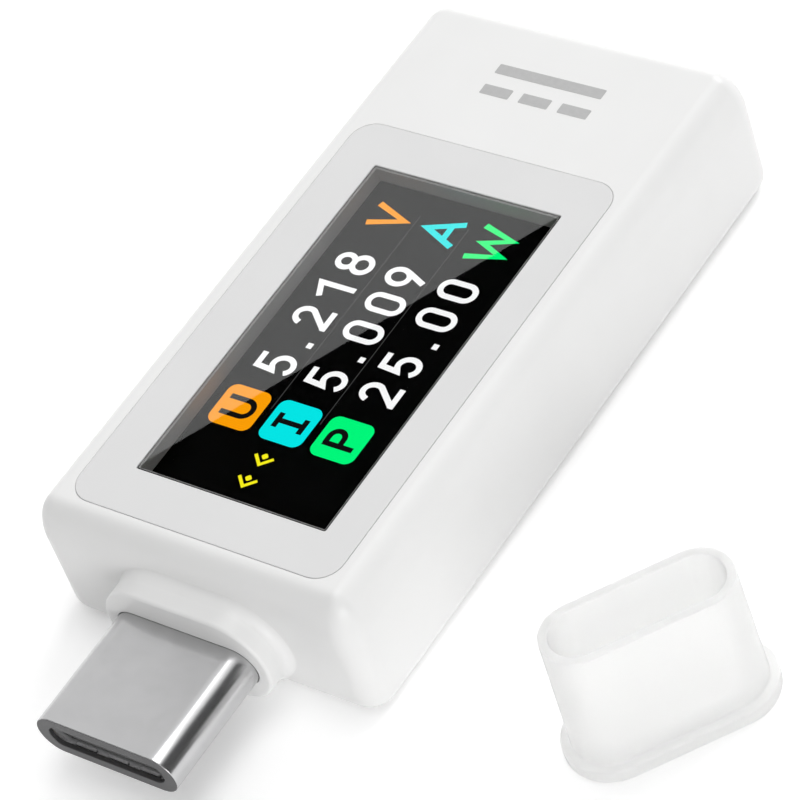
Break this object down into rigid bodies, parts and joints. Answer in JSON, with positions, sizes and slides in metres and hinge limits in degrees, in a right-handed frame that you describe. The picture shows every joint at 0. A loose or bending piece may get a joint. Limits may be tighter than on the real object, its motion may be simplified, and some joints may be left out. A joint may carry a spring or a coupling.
{
  "type": "usb power meter",
  "caption": "Inline USB-C power meter: slab case with recessed colour display, plug on one end, socket on the other, and a separate plug cap.",
  "frame": {"origin": "centre of the meter's flat back face", "axes": "+Z out of the display, -Y out of the plug, +X to the right of the plug seen from above with the plug towards the viewer"},
  "size_m": [0.0356, 0.0456, 0.0078],
  "materials": {
    "white_shell": "fine satin grain, bright white",
    "white_cap": "translucent milky white, satin",
    "bezel_white": "smooth white",
    "lens_clear": "clear, polished",
    "gasket_grey": "dark grey foam",
    "frame_milk": "white moulded",
    "lcd_black": "black, lit with coloured figures",
    "guide_clear": "clear moulded sheet",
    "flex_amber": "amber film over copper",
    "pad_black": "black adhesive foam",
    "board_green": "green solder mask",
    "chip_black": "black moulding compound",
    "cap_tan": "tan ceramic with tinned ends",
    "resistor_black": "black glaze with tinned ends",
    "shell_steel": "satin drawn steel",
    "spring_steel": "bright stamped steel",
    "insulator_black": "black glass-filled plastic",
    "contact_gold": "gold flash"
  },
  "bodies": {
    "meter": {"front_case": "white_shell", "rear_cover": "white_shell", "display_panel": "bezel_white", "window_lens": "lens_clear", "window_gasket": "gasket_grey", "lcd_frame": "frame_milk", "lcd_glass": "lcd_black", "light_guide": "guide_clear", "lcd_flex": "flex_amber", "lcd_pads": "pad_black", "main_board": "board_green", "microcontroller": "chip_black", "sense_amplifier": "chip_black", "shunt_resistor": "resistor_black", "voltage_regulator": "chip_black", "capacitors": "cap_tan", "resistors": "resistor_black", "plug_shell": "shell_steel", "plug_insulator": "insulator_black", "plug_contacts_upper": "contact_gold", "plug_contacts_lower": "contact_gold", "plug_latches": "spring_steel", "plug_emi_springs": "spring_steel", "plug_housing": "insulator_black", "socket_shell": "shell_steel", "socket_insulator": "insulator_black", "socket_contacts": "contact_gold", "socket_midplate": "spring_steel"},
    "cap": {"plug_cap": "white_cap"}
  },
  "joints": [
    {"name": "cap_lift", "type": "slide", "parent": "meter", "child": "cap", "axis": [0, 0, 1], "range_m": [0, 0.03]}
  ]
}
